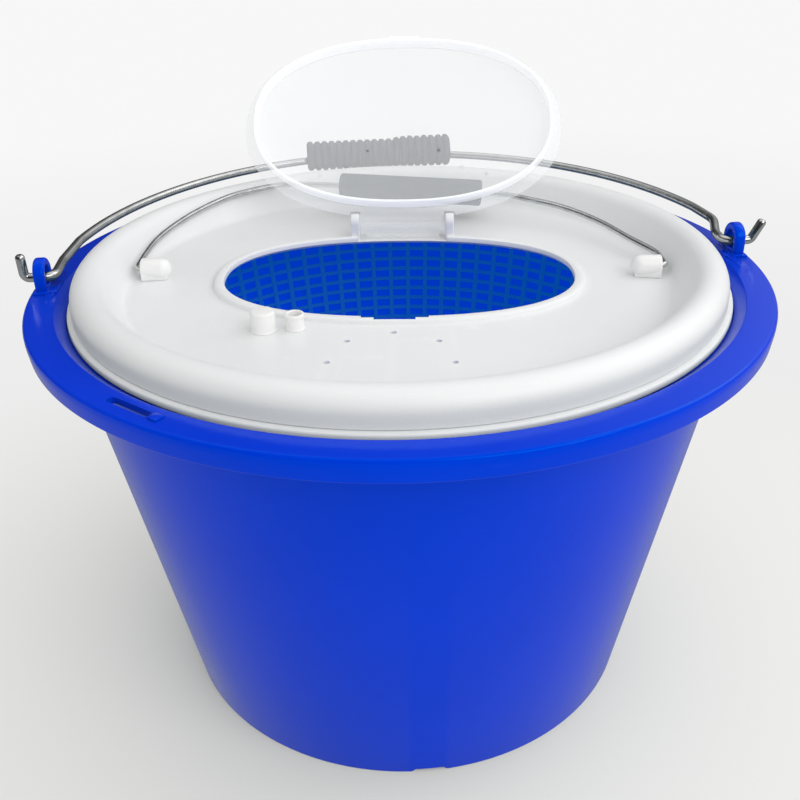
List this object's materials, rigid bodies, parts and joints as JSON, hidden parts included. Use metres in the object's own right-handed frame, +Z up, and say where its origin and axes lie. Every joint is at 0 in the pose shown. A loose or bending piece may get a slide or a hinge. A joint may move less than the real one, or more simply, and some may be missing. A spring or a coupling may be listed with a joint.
{
  "type": "bait bucket",
  "caption": "Tapered bait bucket with a wire bail and a lift-out lattice basket under a recessed lid with a tip-back hatch and an air-line port.",
  "frame": {"origin": "centre of the tub's foot ring, on the ground", "axes": "+Z up, +X along the hatch's hinge line to the right, -Y to the front"},
  "size_m": [0.3722, 0.3701, 0.3129],
  "materials": {
    "tub_blue": "glossy",
    "lattice_blue": "satin",
    "lid_white": "satin",
    "fitting_white": "satin",
    "cover_frost": "frosted",
    "bail_steel": "galvanised",
    "grip_slate": "satin"
  },
  "bodies": {
    "tub": {"bucket_tub": "tub_blue"},
    "outer_bail": {"outer_bail_wire": "bail_steel"},
    "outer_bail_grip": {"outer_grip": "grip_slate"},
    "insert": {"insert_ring": "lid_white", "basket_wall": "lattice_blue", "basket_floor": "lattice_blue", "insert_lid": "lid_white", "left_bail_socket": "fitting_white", "right_bail_socket": "fitting_white", "air_line_port": "fitting_white", "blanking_plug": "fitting_white"},
    "inner_bail": {"inner_bail_wire": "bail_steel"},
    "inner_bail_grip": {"inner_grip": "grip_slate"},
    "hatch": {"hatch_cover": "cover_frost"}
  },
  "joints": [
    {"name": "outer_bail_swing", "type": "hinge", "parent": "tub", "child": "outer_bail", "pos_m": [0, 0, 0.2243], "axis": [0.9912, 0.1323, 0], "range_deg": [0, 175]},
    {"name": "outer_grip_spin", "type": "hinge", "parent": "outer_bail", "child": "outer_bail_grip", "pos_m": [-0.01925, 0.17452, 0.23397], "axis": [0.9912, 0.1323, 0], "continuous": true},
    {"name": "insert_lift", "type": "slide", "parent": "tub", "child": "insert", "axis": [0, 0, 1], "range_m": [0, 0.24]},
    {"name": "hatch_swing", "type": "hinge", "parent": "insert", "child": "hatch", "pos_m": [0, 0.0615, 0.2207], "axis": [1, 0, 0], "range_deg": [0, 133]},
    {"name": "inner_bail_swing", "type": "hinge", "parent": "insert", "child": "inner_bail", "pos_m": [0, 0, 0.21975], "axis": [1, 0, 0], "range_deg": [0, 8]},
    {"name": "inner_grip_spin", "type": "hinge", "parent": "inner_bail", "child": "inner_bail_grip", "pos_m": [0.0035, 0.10512, 0.22936], "axis": [0.9869, -0.1609, -0.0147], "continuous": true}
  ]
}
